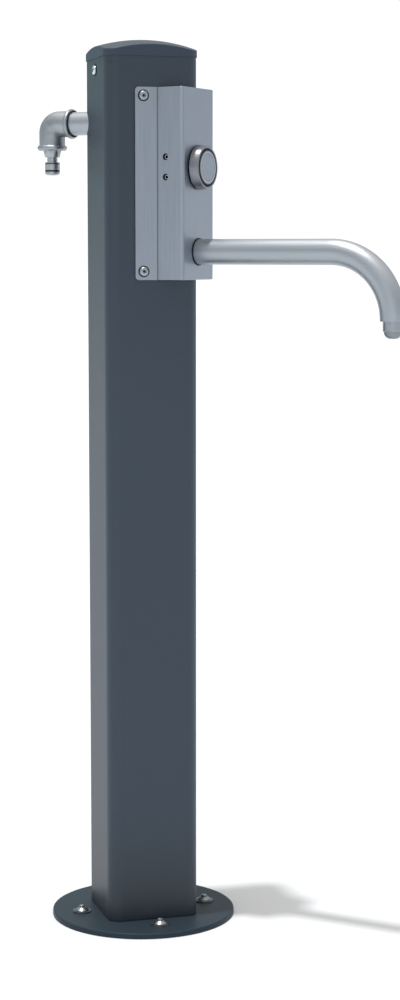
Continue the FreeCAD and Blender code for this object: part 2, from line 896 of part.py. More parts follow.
def side_screws():
    """Recessed socket screws through the housing's sides into the yoke."""
    radius = s.side_screw / 2
    slope = s.side_screw_chamfer
    corners = [
        (ZERO, -s.side_screw_length),
        (radius - slope, -s.side_screw_length),
        (radius, slope - s.side_screw_length),
        (radius, -slope),
        (radius - slope, ZERO),
        (ZERO, ZERO),
    ]
    form = turned("side_screw_form", corners)
    sketch = new_sketch(form, "XY_Plane")
    draw_hexagon(sketch, s.side_screw_key)
    grow(form, "Pocket", sketch, s.side_screw_key_depth)
    face = housing_half - s.side_screw_inset
    places = []
    for side in (-1, 1):
        height = button_height + s.side_screw_spacing / 2 * side
        places.append((-face, -side_screw_reach, height, TO_LEFT))
        places.append((face, -side_screw_reach, height, TO_RIGHT))
    return copies("side_screws", form, places)


def valve_yoke():
    """Bent bracket that ties the valve body to the housing's sides."""
    body = new_body("valve_yoke")
    outer = housing_half - s.housing_wall - s.yoke_gap
    inner = outer - s.yoke_wall
    front = valve_body_reach + s.yoke_wall
    rear = front - s.yoke_depth
    corners = [
        (-outer, -rear),
        (-outer, -front),
        (outer, -front),
        (outer, -rear),
        (inner, -rear),
        (inner, -valve_body_reach),
        (-inner, -valve_body_reach),
        (-inner, -rear),
    ]
    sketch = new_sketch(body, "XY_Plane", button_height - s.yoke_height / 2)
    draw_outline(sketch, corners)
    grow(body, "Pad", sketch, s.yoke_height)
    hole = s.barrel_diameter / 2 + s.socket_gap
    cross_hole(body, "XZ_Plane", ZERO, button_height, hole, s.post_side, True)
    for side in (-1, 1):
        height = button_height + s.side_screw_spacing / 2 * side
        cross_hole(
            body,
            "YZ_Plane",
            -side_screw_reach,
            height,
            s.side_screw / 2 + s.thread_gap,
            s.post_side,
            both=True,
        )
    return body


def on_valve_axis(body):
    """Lay a turned piece on the valve's axis: its heights become reaches towards the spout."""
    place(body, ZERO, ZERO, button_height, TO_SPOUT)
    return body


def on_spout_axis(body):
    place(body, ZERO, ZERO, spout_height, TO_SPOUT)
    return body


def on_hose_axis(body):
    place(body, ZERO, ZERO, hose_height, TO_HOSE)
    return body


def button_bezel():
    """Tapered collar round the button, with a floor that the barrel screws through."""
    hole = s.barrel_diameter / 2 + s.socket_gap
    edge = s.bezel_edge
    front = s.bezel_front_diameter / 2
    opening = s.bezel_opening / 2
    corners = [
        (hole, bezel_back),
        (s.bezel_diameter / 2 - edge, bezel_back),
        (s.bezel_diameter / 2, bezel_back + edge),
        (front, bezel_front - edge, edge),
        (front - edge, bezel_front),
        (opening + edge / 2, bezel_front),
        (opening, bezel_front - edge / 2),
        (opening, bezel_floor_reach),
        (hole, bezel_floor_reach),
    ]
    return on_valve_axis(turned("button_bezel", corners))


def bezel_gasket():
    corners = ring(
        s.barrel_diameter / 2 + s.socket_gap,
        s.bezel_diameter / 2 - s.bezel_edge * 2,
        housing_reach,
        bezel_back,
    )
    return on_valve_axis(turned("bezel_gasket", corners))


def button_wiper():
    """Dark ring in the bezel's mouth that keeps dirt out of the gap round the button."""
    inner = s.button_diameter / 2 + s.wiper_gap
    outer = s.bezel_opening / 2 - s.socket_gap / 2
    high = bezel_front - s.wiper_setback
    corners = ring(inner, outer, high - s.wiper_length, high)
    return on_valve_axis(turned("button_wiper", corners))


def button_cap():
    """Push button: a disc with a rounded rim."""
    radius = s.button_diameter / 2
    rim = s.button_rim
    corners = [
        (ZERO, button_back),
        (radius, button_back),
        (radius, button_front - rim, rim),
        (radius - rim, button_front),
        (ZERO, button_front),
    ]
    return on_valve_axis(turned("button_cap", corners))


def button_stem():
    corners = [
        (ZERO, seal_front),
        (s.stem_diameter / 2, seal_front),
        (s.stem_diameter / 2, button_back),
        (ZERO, button_back),
    ]
    return on_valve_axis(turned("button_stem", corners))


def valve_piston():
    """Holder of the sealing disc, with a spigot through it and a boss for the spring."""
    wide = s.seal_diameter / 2
    boss = s.piston_boss / 2
    corners = [
        (ZERO, piston_back - s.piston_boss_length),
        (boss, piston_back - s.piston_boss_length),
        (boss, piston_back),
        (wide, piston_back),
        (wide, seal_back),
        (s.piston_spigot / 2, seal_back),
        (s.piston_spigot / 2, seal_front),
        (ZERO, seal_front),
    ]
    return on_valve_axis(turned("valve_piston", corners))


def piston_seal():
    corners = ring(s.piston_spigot / 2, s.seal_diameter / 2, seal_back, seal_front)
    return on_valve_axis(turned("piston_seal", corners))


def return_spring():
    """Coil spring between the valve body's back wall and the piston."""
    body = new_body("return_spring")
    wire = s.spring_wire / 2
    low = chamber_back + wire + s.spring_gap
    sketch = new_sketch(body, "XZ_Plane")
    draw_circle(sketch, s.spring_mean / 2, low, wire)
    coil = body.newObject("PartDesign::AdditiveHelix", "return_spring_coil")
    coil.Profile = sketch
    coil.ReferenceAxis = (sketch, ["V_Axis"])
    coil.Mode = "height-turns-angle"
    rise = piston_back - chamber_back - s.spring_wire - s.spring_gap * 2
    coil.Height = rise.value
    coil.Turns = s.spring_turns.value
    bind(coil, "Height", rise)
    bind(coil, "Turns", s.spring_turns)
    settle(body, coil, 0)
    return on_valve_axis(body)


def valve_barrel():
    """Sleeve that guides the stem and ends in the valve seat, with outlet ports at its side."""
    outer = s.barrel_diameter / 2
    guide = s.stem_diameter / 2 + s.stem_gap
    bore_radius = s.barrel_bore / 2
    seat = s.seat_bore / 2
    corners = [
        (seat, barrel_back),
        (outer, barrel_back),
        (outer, bezel_floor_reach),
        (guide, bezel_floor_reach),
        (guide, bezel_floor_reach - s.barrel_guide),
        (bore_radius, bezel_floor_reach - s.barrel_guide),
        (bore_radius, barrel_back + s.barrel_seat),
        (seat, barrel_back + s.barrel_seat),
    ]
    body = turned("valve_barrel", corners)
    port = s.outlet_tube / 2 - s.outlet_tube_wall
    cross_hole(body, "XZ_Plane", ZERO, outlet_reach, port, s.barrel_diameter, both=True)
    return on_valve_axis(body)


def chamfer_hexagon(body, flats, face, side):
    """Turn off a hexagon's corners at 30 degrees, at its upper (1) or lower (-1) face."""
    inside = flats / 2 - s.nut_face_inset
    outside = flats
    fall = (outside - inside) / ROOT3 * side
    sketch = new_sketch(body, "XZ_Plane")
    draw_outline(sketch, [(inside, face), (outside, face - fall), (outside, face)])
    spin(body, "Groove", sketch)


def hex_nut(label, flats, hole, low, high):
    """Hexagon nut on its own Z axis, its corners turned off at both faces."""
    body = new_body(label)
    sketch = new_sketch(body, "XY_Plane", low)
    draw_hexagon(sketch, flats)
    grow(body, "Pad", sketch, high - low)
    bore(body, hole, low, high)
    chamfer_hexagon(body, flats, high, UPWARD)
    chamfer_hexagon(body, flats, low, DOWNWARD)
    return body


def barrel_nut():
    hole = s.barrel_diameter / 2 + s.thread_gap
    low = housing_inside - s.barrel_nut_thickness
    return on_valve_axis(hex_nut("barrel_nut", s.barrel_nut_flats, hole, low, housing_inside))


def valve_body():
    """Cast chamber behind the barrel, with an outlet boss below and an inlet spigot behind."""
    barrel = s.barrel_diameter / 2 + s.socket_gap
    chamber = s.valve_chamber / 2
    passage = s.valve_passage / 2
    spigot = s.valve_spigot / 2
    outer = s.valve_body_diameter / 2
    spigot_back = valve_body_back - s.valve_spigot_length
    corners = [
        (ZERO, spigot_back),
        (spigot, spigot_back),
        (spigot, valve_body_back),
        (outer, valve_body_back),
        (outer, valve_body_reach),
        (ZERO, valve_body_reach),
    ]
    body = turned("valve_body", corners)
    sketch = new_sketch(body, "XZ_Plane")
    draw_circle(sketch, ZERO, outlet_reach, s.outlet_boss / 2)
    grow(body, "Pad", sketch, s.outlet_boss_drop)
    bore(body, passage, spigot_back, chamber_back)
    bore(body, chamber, chamber_back, barrel_back)
    bore(body, barrel, barrel_back, valve_body_reach)
    port = s.outlet_tube / 2 - s.outlet_tube_wall
    cross_hole(body, "XZ_Plane", ZERO, outlet_reach, port, s.outlet_boss_drop, True)
    sketch = new_sketch(body, "XZ_Plane", s.outlet_boss_drop)
    draw_circle(sketch, ZERO, outlet_reach, s.outlet_tube / 2 + s.socket_gap)
    grow(body, "Pocket", sketch, s.outlet_socket)
    return on_valve_axis(body)


def outlet_tube():
    outer = s.outlet_tube / 2
    low = spout_elbow_top - s.outlet_socket
    corners = ring(outer - s.outlet_tube_wall, outer, low, outlet_tube_top)
    body = turned("outlet_tube", corners)
    place(body, ZERO, -outlet_reach, ZERO, UP)
    return body


def spout_elbow():
    """Block that turns the water from the outlet tube into the spout."""
    outer = s.spout_elbow_diameter / 2
    back = outlet_reach - s.spout_elbow_tail
    socket = s.spout_diameter / 2 + s.socket_gap
    passage = s.spout_passage / 2
    groove = socket + s.o_ring_section + s.socket_gap
    ring_low = spout_elbow_front - s.o_ring_setback
    ring_high = ring_low + s.o_ring_section + s.socket_gap * 2
    corners = [
        (ZERO, back),
        (outer, back),
        (outer, spout_elbow_front),
        (ZERO, spout_elbow_front),
    ]
    body = turned("spout_elbow", corners)
    sketch = new_sketch(body, "XZ_Plane")
    draw_circle(sketch, ZERO, outlet_reach, s.outlet_boss / 2)
    grow(body, "Pad", sketch, s.spout_elbow_rise, reverse=True)
    bore(body, passage, back + s.spout_wall * 2, spout_tube_back)
    bore(body, socket, spout_tube_back, spout_elbow_front)
    bore(body, groove, ring_low, ring_high)
    port = s.outlet_tube / 2 - s.outlet_tube_wall
    cross_hole(body, "XZ_Plane", ZERO, outlet_reach, port, s.spout_elbow_rise)
    sketch = new_sketch(body, "XZ_Plane", -s.spout_elbow_rise)
    draw_circle(sketch, ZERO, outlet_reach, s.outlet_tube / 2 + s.socket_gap)
    grow(body, "Pocket", sketch, s.outlet_socket, reverse=True)
    return on_spout_axis(body)


def spout_ring():
    """Flat ring that backs the spout elbow against the housing."""
    inner = s.spout_diameter / 2 + s.socket_gap
    corners = ring(inner, s.spout_ring_diameter / 2, spout_elbow_front, housing_inside)
    return on_spout_axis(turned("spout_ring", corners))


def spout_o_ring():
    inner = s.spout_diameter / 2 + s.socket_gap / 2
    low = spout_elbow_front - s.o_ring_setback + s.socket_gap
    corners = ring(inner, inner + s.o_ring_section, low, low + s.o_ring_section)
    return on_spout_axis(turned("spout_o_ring", corners))


def spout_tube():
    """Tube that runs out level and bends down to the outlet."""
    body = new_body("spout_tube")
    path = new_sketch(body, "YZ_Plane")
    corners = [
        (-spout_tube_back, spout_height),
        (s.spout_bend - spout_reach, spout_height, s.spout_bend),
        (-spout_reach, spout_height - s.spout_bend),
        (-spout_reach, spout_end),
    ]
    draw_outline(path, corners, closed=False)
    sketch = new_sketch(body, "XZ_Plane", spout_tube_back)
    draw_circle(sketch, ZERO, spout_height, s.spout_diameter / 2)
    draw_circle(sketch, ZERO, spout_height, s.spout_diameter / 2 - s.spout_wall)
    tube = body.newObject("PartDesign::AdditivePipe", "spout_tube_sweep")
    tube.Profile = sketch
    tube.Spine = path
    settle(body, tube, 0)
    return body


def outlet_nozzle():
    """Stepped nozzle in the spout's end, open through."""
    spigot = s.spout_diameter / 2 - s.spout_wall - s.socket_gap
    outer = s.nozzle_diameter / 2
    hole = s.nozzle_bore / 2
    edge = s.nozzle_edge
    length = s.nozzle_length
    corners = [
        (hole, -s.nozzle_spigot),
        (spigot, -s.nozzle_spigot),
        (spigot, ZERO),
        (outer, ZERO),
        (outer, length - edge),
        (outer - edge / 2, length - edge / 2),
        (outer - edge / 2, length),
        (hole, length),
    ]
    body = turned("outlet_nozzle", corners)
    place(body, ZERO, -spout_reach, spout_end, DOWN)
    return body


def nozzle_insert():
    """Rounded end piece of the nozzle with the water hole through it."""
    start = s.nozzle_length
    wide = s.nozzle_diameter / 2 - s.nozzle_edge
    face = s.insert_face / 2
    depth = s.insert_depth
    run = wide - face
    dome = (run * run + depth * depth) / (run * 2)
    hole = s.insert_bore / 2
    inner = s.nozzle_bore / 2 - s.socket_gap
    corners = [
        (hole, start - s.insert_spigot),
        (inner, start - s.insert_spigot),
        (inner, start),
        (wide, start, dome),
        (face, start + depth),
        (hole, start + depth),
    ]
    body = turned("nozzle_insert", corners)
    place(body, ZERO, -spout_reach, spout_end, DOWN)
    return body


def riser_pipe():
    outer = s.riser_diameter / 2
    top = tee_bottom + s.riser_insert
    return turned("riser_pipe", ring(outer - s.riser_wall, outer, riser_bottom, top))


def inlet_socket():
    """Flanged socket in the base plate: threaded for the supply below, riser above."""
    hub = s.supply_hole / 2 - s.inlet_hub_gap
    flange = s.inlet_flange / 2
    neck = s.inlet_hub / 2
    socket = s.riser_diameter / 2 + s.socket_gap
    thread = s.inlet_thread / 2
    passage = s.riser_diameter / 2 - s.riser_wall
    low = s.inlet_lift
    flange_top = s.plate_thickness + s.inlet_flange_thickness
    corners = [
        (thread, low),
        (hub, low),
        (hub, s.plate_thickness),
        (flange, s.plate_thickness),
        (flange, flange_top),
        (neck, flange_top),
        (neck, inlet_hub_top),
        (socket, inlet_hub_top),
        (socket, riser_bottom),
        (passage, riser_bottom),
        (passage, low + s.inlet_thread_depth),
        (thread, low + s.inlet_thread_depth),
    ]
    body = turned("inlet_socket", corners)
    sketch = new_sketch(body, "XY_Plane", s.plate_thickness)
    draw_circle(sketch, s.inlet_screw_circle / 2, ZERO, s.inlet_screw / 2 + s.screw_gap)
    hole = grow(body, "Pocket", sketch, s.inlet_flange_thickness, reverse=True)
    repeat_round(body, [hole], 4)
    return body


def inlet_screws():
    """Four hexagon screws that hold the inlet socket on the base plate."""
    shank = s.inlet_screw / 2
    form = new_body("inlet_screw_form")
    sketch = new_sketch(form, "XY_Plane")
    draw_hexagon(sketch, s.inlet_screw_head)
    grow(form, "Pad", sketch, s.inlet_screw_head_height)
    sketch = new_sketch(form, "XY_Plane")
    draw_circle(sketch, ZERO, ZERO, shank)
    depth = s.inlet_flange_thickness + s.inlet_screw_depth
    grow(form, "Pad", sketch, depth, reverse=True)
    chamfer_hexagon(form, s.inlet_screw_head, s.inlet_screw_head_height, UPWARD)
    reach = s.inlet_screw_circle / 2
    height = s.plate_thickness + s.inlet_flange_thickness
    places = [
        (reach, ZERO, height, UP),
        (-reach, ZERO, height, UP),
        (ZERO, reach, height, UP),
        (ZERO, -reach, height, UP),
    ]
    return copies("inlet_screws", form, places)


def inlet_tee():
    """Tee that feeds the valve in front and the hose outlet above."""
    outer = s.tee_diameter / 2
    socket = s.riser_diameter / 2 + s.socket_gap
    passage = s.riser_diameter / 2 - s.riser_wall
    body = turned("inlet_tee", ring(ZERO, outer, -s.tee_arm, s.tee_arm))
    sketch = new_sketch(body, "XZ_Plane")
    draw_circle(sketch, ZERO, ZERO, s.tee_front_diameter / 2)
    grow(body, "Pad", sketch, s.tee_front_arm)
    bore(body, passage, -s.tee_arm, s.tee_arm)
    bore(body, socket, -s.tee_arm, s.riser_insert - s.tee_arm)
    bore(body, socket, s.tee_arm - s.riser_insert, s.tee_arm)
    spigot = s.valve_spigot / 2 + s.socket_gap
    sketch = new_sketch(body, "XZ_Plane", s.tee_front_arm)
    draw_circle(sketch, ZERO, ZERO, spigot)
    grow(body, "Pocket", sketch, s.valve_spigot_length)
    cross_hole(body, "XZ_Plane", ZERO, ZERO, s.valve_passage / 2, s.tee_front_arm, True)
    place(body, ZERO, ZERO, button_height, UP)
    return body


def feed_pipe():
    """Short pipe from the tee up to the elbow of the hose outlet."""
    outer = s.riser_diameter / 2
    low = tee_top - s.riser_insert
    high = feed_elbow_bottom + s.riser_insert
    return turned("feed_pipe", ring(outer - s.riser_wall, outer, low, high))


def feed_elbow():
    """Elbow inside the post that turns the water to the hose outlet."""
    outer = s.feed_elbow_diameter / 2
    passage = s.riser_diameter / 2 - s.riser_wall
    socket = s.hose_pipe_diameter / 2 + s.socket_gap
    body = turned("feed_elbow", ring(ZERO, outer, -outer, s.feed_elbow_arm))
    sketch = new_sketch(body, "XZ_Plane")
    draw_circle(sketch, ZERO, ZERO, s.tee_diameter / 2)
    grow(body, "Pad", sketch, s.feed_elbow_arm, reverse=True)
    wide = s.hose_pipe_diameter / 2 - s.hose_pipe_wall
    bore(body, wide, -wide, hose_pipe_back)
    bore(body, socket, hose_pipe_back, s.feed_elbow_arm)
    cross_hole(body, "XZ_Plane", ZERO, ZERO, passage, s.feed_elbow_arm)
    riser_socket = s.riser_diameter / 2 + s.socket_gap
    sketch = new_sketch(body, "XZ_Plane", -s.feed_elbow_arm)
    draw_circle(sketch, ZERO, ZERO, riser_socket)
    grow(body, "Pocket", sketch, s.riser_insert, reverse=True)
    return on_hose_axis(body)


def hose_pipe():
    """Pipe that leaves the post through its rear corner."""
    outer = s.hose_pipe_diameter / 2
    corners = ring(outer - s.hose_pipe_wall, outer, hose_pipe_back, elbow_end + s.hose_socket)
    return on_hose_axis(turned("hose_pipe", corners))


def pipe_grommet():
    """Rubber bush between the hose pipe and the post."""
    inner = s.hose_pipe_diameter / 2 + s.socket_gap / 2
    high = post_edge - hose_hole - s.grommet_setback
    corners = ring(inner, inner + s.grommet_wall, high - s.grommet_length, high)
    return on_hose_axis(turned("pipe_grommet", corners))


def add_axis(sketch, start, finish):
    """A construction line, the sketch's first, for a feature to turn about."""
    (x1, y1), (x2, y2) = start, finish
    first = Vector(as_size(x1).value, as_size(y1).value, 0)
    last = Vector(as_size(x2).value, as_size(y2).value, 0)
    index = sketch.addGeometry(Part.LineSegment(first, last), True)
    fix_point(sketch, index, 1, x1, y1)
    fix_point(sketch, index, 2, x2, y2)


def hose_elbow():
    """Cast elbow: two arms and a round bend, a rounded bead and a mouth at each end."""
    body = new_body("hose_elbow")
    outer = s.elbow_diameter / 2
    bend = s.elbow_bend
    turn_y = hose_reach - bend
    turn_z = hose_height - bend
    top = hose_height + outer
    chord = root(outer * outer - bend * bend)
    sketch = new_sketch(body, "XZ_Plane", -turn_y)
    draw_outline(sketch, [(-chord, turn_z), (chord, turn_z, outer), (ZERO, top, outer)])
    add_axis(sketch, (-outer, turn_z), (outer, turn_z))
    spin(body, "Revolution", sketch, 90, "Axis0", reverse=True)
    sketch = new_sketch(body, "XZ_Plane", -elbow_end)
    draw_circle(sketch, ZERO, hose_height, outer)
    grow(body, "Pad", sketch, turn_y - elbow_end, reverse=True)
    sketch = new_sketch(body, "XY_Plane", elbow_bottom)
    draw_circle(sketch, ZERO, hose_reach, outer)
    grow(body, "Pad", sketch, turn_z - elbow_bottom)
    add_bead(body, elbow_end, hose_height, lower=False)
    add_bead(body, hose_reach, elbow_bottom, lower=True)
    bore_elbow(body, turn_y, turn_z)
    return body


def add_bead(body, y, z, lower):
    """A rounded bead round one end of the elbow, turned about that arm's axis."""
    outer = s.elbow_diameter / 2
    rise = s.elbow_bead / 2 - outer
    width = s.elbow_bead_width
    hump = (rise * rise + width * width / 4) / (rise * 2)
    sketch = new_sketch(body, "YZ_Plane")
    if lower:
        draw_outline(sketch, [(y, z), (y + outer, z, hump), (y + outer, z + width), (y, z + width)])
        add_axis(sketch, (y, z), (y, z + width))
    else:
        draw_outline(sketch, [(y, z), (y, z + outer, -hump), (y + width, z + outer), (y + width, z)])
        add_axis(sketch, (y, z), (y + width, z))
    spin(body, "Revolution", sketch, 360, "Axis0")


def bore_elbow(body, turn_y, turn_z):
    """Water way round the bend, and the sockets and mouths at both ends."""
    passage = s.elbow_passage / 2
    arm = s.elbow_arm - s.elbow_bend
    sketch = new_sketch(body, "XZ_Plane", -turn_y)
    draw_circle(sketch, ZERO, hose_height, passage)
    add_axis(sketch, (-passage, turn_z), (passage, turn_z))
    spin(body, "Groove", sketch, 90, "Axis0", reverse=True)
    pipe = s.hose_pipe_diameter / 2 + s.socket_gap
    pipe_depth = s.hose_socket + s.socket_gap
    for radius, depth in (
        (passage, arm),
        (pipe, pipe_depth),
        (s.elbow_mouth / 2, s.elbow_mouth_depth),
    ):
        sketch = new_sketch(body, "XZ_Plane", -elbow_end)
        draw_circle(sketch, ZERO, hose_height, radius)
        grow(body, "Pocket", sketch, depth)
    plug = s.plug_thread / 2 + s.thread_gap
    for radius, depth in ((passage, arm), (plug, s.plug_thread_length + s.socket_gap)):
        sketch = new_sketch(body, "XY_Plane", elbow_bottom)
        draw_circle(sketch, ZERO, hose_reach, radius)
        grow(body, "Pocket", sketch, depth, reverse=True)


def hose_plug():
    """Hose connector plug: thread, tapered hexagon collar, neck and a head with two grooves."""
    thread = s.plug_thread / 2
    hole = s.plug_bore / 2
    collar = s.plug_collar / 2
    collar_end = s.plug_collar_end / 2
    neck = s.plug_neck / 2
    head = s.plug_head / 2
    slope = s.plug_head_chamfer
    low_collar = s.plug_collar_length
    low_neck = low_collar + s.plug_neck_length
    end = low_neck + s.plug_head_length
    ring_low = end - s.plug_ring_height - s.plug_ring_width / 2
    ring_high = ring_low + s.plug_ring_width
    groove = head - s.plug_ring_width
    lip = s.plug_lip_chamfer
    slot = head - s.plug_slot_depth
    slot_low = low_neck + s.plug_lip
    slot_high = slot_low + s.plug_slot_width
    corners = [
        (hole, -s.plug_thread_length),
        (thread, -s.plug_thread_length),
        (thread, ZERO),
        (collar, ZERO),
        (collar_end, low_collar),
        (neck, low_collar),
        (neck, low_neck),
        (head - lip, low_neck),
        (head, low_neck + lip),
        (head, slot_low),
        (slot, slot_low),
        (slot, slot_high),
        (head, slot_high),
        (head, ring_low),
        (groove, ring_low),
        (groove, ring_high),
        (head, ring_high),
        (head, end - slope),
        (head - slope, end),
        (hole, end),
    ]
    body = turned("hose_plug", corners)
    sketch = new_sketch(body, "XY_Plane")
    draw_hexagon(sketch, s.plug_collar_flats)
    draw_circle(sketch, ZERO, ZERO, s.plug_collar)
    grow(body, "Pocket", sketch, s.plug_collar_length, reverse=True)
    place(body, ZERO, hose_reach, elbow_bottom, DOWN)
    return body


def plug_o_ring():
    head = s.plug_head / 2
    wide = s.plug_ring_width
    height = s.plug_collar_length + s.plug_neck_length + s.plug_head_length
    low = height - s.plug_ring_height - wide / 2
    gap = s.socket_gap / 2
    corners = ring(head - wide + gap, head - gap, low + gap, low + wide - gap)
    body = turned("plug_o_ring", corners)
    place(body, ZERO, hose_reach, elbow_bottom, DOWN)
    return body


def anchor_places(height):
    """The four anchor places, in front of the middle of each post face."""
    reach = s.anchor_circle / 2
    places = []
    for across, out in ((ZERO, reach), (reach, ZERO), (ZERO, -reach), (-reach, ZERO)):
        x, y = face_point(across, out)
        places.append((x, y, height, UP))
    return places


def anchor_washers():
    corners = ring(s.washer_hole / 2, s.washer_diameter / 2, ZERO, s.washer_thickness)
    form = turned("anchor_washer_form", corners)
    return copies("anchor_washers", form, anchor_places(s.plate_thickness))


def anchor_nuts():
    """Low cone nuts with a round tip, their thread open below only."""
    thread = s.cone_nut_thread / 2
    rim = s.cone_nut_diameter / 2
    tip = s.cone_nut_tip / 2
    edge = s.cone_nut_tip_edge
    shoulder = s.cone_nut_height
    top = shoulder + s.cone_nut_tip_height
    corners = [
        (thread, ZERO),
        (rim, ZERO),
        (rim, s.cone_nut_rim),
        (s.cone_nut_shoulder / 2, shoulder),
        (tip, shoulder),
        (tip, top - edge, edge),
        (tip - edge, top),
        (ZERO, top),
        (ZERO, s.cone_nut_thread_depth),
        (thread, s.cone_nut_thread_depth),
    ]
    form = turned("anchor_nut_form", corners)
    return copies("anchor_nuts", form, anchor_places(s.plate_thickness + s.washer_thickness))


PIECES = [
    base_plate,
    post,
    foot_weld,
    anchor_washers,
    anchor_nuts,
    post_cap,
    cap_screws,
    valve_housing,
    housing_screws,
    housing_weld_nuts,
    side_screws,
    valve_yoke,
    button_bezel,
    bezel_gasket,
    button_wiper,
    button_cap,
    button_stem,
    valve_piston,
    piston_seal,
    return_spring,
    valve_barrel,
    barrel_nut,
    valve_body,
    outlet_tube,
    spout_elbow,
    spout_ring,
    spout_o_ring,
    spout_tube,
    outlet_nozzle,
    nozzle_insert,
    riser_pipe,
    inlet_socket,
    inlet_screws,
    inlet_tee,
    feed_pipe,
    feed_elbow,
    hose_pipe,
    pipe_grommet,
    hose_elbow,
    hose_plug,
    plug_o_ring,
]

parts = [make() for make in PIECES]
doc.recompute()

for item in doc.Objects:
    if "Invalid" in item.State or "Error" in item.State:
        raise ValueError(f"{item.Name} is {item.State}")
for item in parts:
    if item.Shape.isNull() or not item.Shape.isValid() or not item.Shape.Solids:
        raise ValueError(f"{item.Label} has no valid solid")

os.makedirs("parts", exist_ok=True)
for item in parts:
    item.Shape.exportStep(f"parts/{item.Label}.step")
    print(f"{item.Label}: {len(item.Shape.Solids)} solids, {item.Shape.Volume:.0f} mm3")
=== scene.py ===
import json
import math

import bpy
from mathutils import Euler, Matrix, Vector
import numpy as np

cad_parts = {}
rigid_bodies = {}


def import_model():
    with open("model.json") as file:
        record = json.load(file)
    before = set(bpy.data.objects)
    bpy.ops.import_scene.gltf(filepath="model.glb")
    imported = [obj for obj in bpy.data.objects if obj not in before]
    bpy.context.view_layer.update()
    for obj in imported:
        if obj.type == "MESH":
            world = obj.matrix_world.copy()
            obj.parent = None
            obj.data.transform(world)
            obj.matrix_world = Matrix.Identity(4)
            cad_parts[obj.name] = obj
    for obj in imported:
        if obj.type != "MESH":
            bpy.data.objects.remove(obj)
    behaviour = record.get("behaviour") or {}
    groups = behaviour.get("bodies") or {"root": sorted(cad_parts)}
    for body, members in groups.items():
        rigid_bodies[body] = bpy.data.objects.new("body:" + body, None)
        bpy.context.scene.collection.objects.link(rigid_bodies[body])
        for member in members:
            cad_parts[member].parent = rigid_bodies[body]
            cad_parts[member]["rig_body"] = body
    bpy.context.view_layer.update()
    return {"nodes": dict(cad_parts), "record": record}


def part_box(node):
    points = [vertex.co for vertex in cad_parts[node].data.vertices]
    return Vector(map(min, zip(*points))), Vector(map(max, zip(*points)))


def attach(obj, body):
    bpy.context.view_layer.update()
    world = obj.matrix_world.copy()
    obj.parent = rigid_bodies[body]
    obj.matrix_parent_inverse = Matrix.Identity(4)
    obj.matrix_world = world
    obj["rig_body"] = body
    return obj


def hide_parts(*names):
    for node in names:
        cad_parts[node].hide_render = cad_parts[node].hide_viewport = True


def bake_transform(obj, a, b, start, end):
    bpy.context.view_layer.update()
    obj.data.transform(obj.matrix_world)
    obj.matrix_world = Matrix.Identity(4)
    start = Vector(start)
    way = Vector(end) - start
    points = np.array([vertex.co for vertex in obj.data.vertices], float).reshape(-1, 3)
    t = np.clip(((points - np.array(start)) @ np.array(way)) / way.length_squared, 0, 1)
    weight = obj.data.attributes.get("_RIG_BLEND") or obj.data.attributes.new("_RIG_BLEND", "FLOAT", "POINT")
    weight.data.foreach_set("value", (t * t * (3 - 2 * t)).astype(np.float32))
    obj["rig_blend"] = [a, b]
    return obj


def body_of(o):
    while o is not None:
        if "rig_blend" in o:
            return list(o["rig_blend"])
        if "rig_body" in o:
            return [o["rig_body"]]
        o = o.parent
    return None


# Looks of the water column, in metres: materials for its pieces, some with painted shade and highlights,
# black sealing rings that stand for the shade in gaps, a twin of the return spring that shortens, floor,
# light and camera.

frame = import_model()
nodes = frame["nodes"]

MM = 0.001

# Directions; the post's faces look along the diagonals
UP = Vector((0.0, 0.0, 1.0))
DOWN = (0, 0, -1)
LEFT = (-1, 0, 0)
RIGHT = (1, 0, 0)
TO_SPOUT = (0, -1, 0)
LEFT_FRONT = (-1, -1, 0)
RIGHT_FRONT = (1, -1, 0)
LEFT_BACK = (-1, 1, 0)

# Camera at the photograph's angle
CAMERA_PLACE = Vector((-2.0266, -1.1788, 0.7299))
CAMERA_DOWN = math.radians(6.58)
CAMERA_TURN = math.radians(-61.35)
CAMERA_LENS = 78.18
CAMERA_SENSOR = 36.0

# Sun: the way its light falls, its power and how wide it looks
SUN_FALL = Vector((0.106, -0.087, -0.990))
SUN_STRENGTH = 2.35
SUN_ANGLE = math.radians(2.2)
SUN_DISTANCE = 3

# Studio light: an even base, and soft patches (direction, half width in degrees, colour
# times strength) that add to it or take from it
STUDIO_BASE = (0.57, 0.60, 0.63)
STUDIO_PATCHES = [
    ((0.0, 0.0, 1.0), 75.0, (0.68, 0.57, 0.46)),
    ((0.48, 0.88, 0.15), 40.0, (-0.25, -0.08, -0.10)),
    ((0.86, -0.51, 0.10), 50.0, (0.12, 0.12, 0.13)),
    ((-0.93, -0.36, 0.10), 32.0, (0.35, 0.35, 0.35)),
]
BACKDROP = (1.0, 1.0, 1.0, 1.0)
BACKDROP_STRENGTH = 1.05

# Floor
FLOOR_SIZE = 120.0
FLOOR_COLOURS = ((0.645, 0.666, 0.687), (0.665, 0.686, 0.707))
FLOOR_ROUGHNESS = 0.9

# Noises: cells a metre and detail. Most of a noise lies between NOISE_LOW and NOISE_HIGH.
NOISE_LOW = 0.3
NOISE_HIGH = 0.7
NOISE_ROUGHNESS = 0.55
COAT_FLAKE = (2600.0, 1.0)
COAT_CLOUD = (14.0, 4.0)
COAT_PEEL = (900.0, 2.0)
GRAIN_CLOUD = (22.0, 3.0)
CAST_PITS = (1500.0, 2.0)
CAST_WAVES = (90.0, 3.0)
METAL_SMEAR = (160.0, 4.0)
METAL_TOOTH = (1800.0, 2.0)
RUBBER_BLOOM = (260.0, 4.0)
RUBBER_TOOTH = (2400.0, 1.0)
FLOOR_DUST = (6.0, 4.0)

# Grains of ground metal: cells a metre along each axis, few along the grain
UPRIGHT_GRAIN = (900.0, 900.0, 14.0)
SPOUT_GRAIN = (900.0, 14.0, 900.0)
CROSS_GRAIN = (60.0, 900.0, 900.0)
GRAIN_DETAIL = 4.0
GRAIN_ROUGHNESS = 0.7

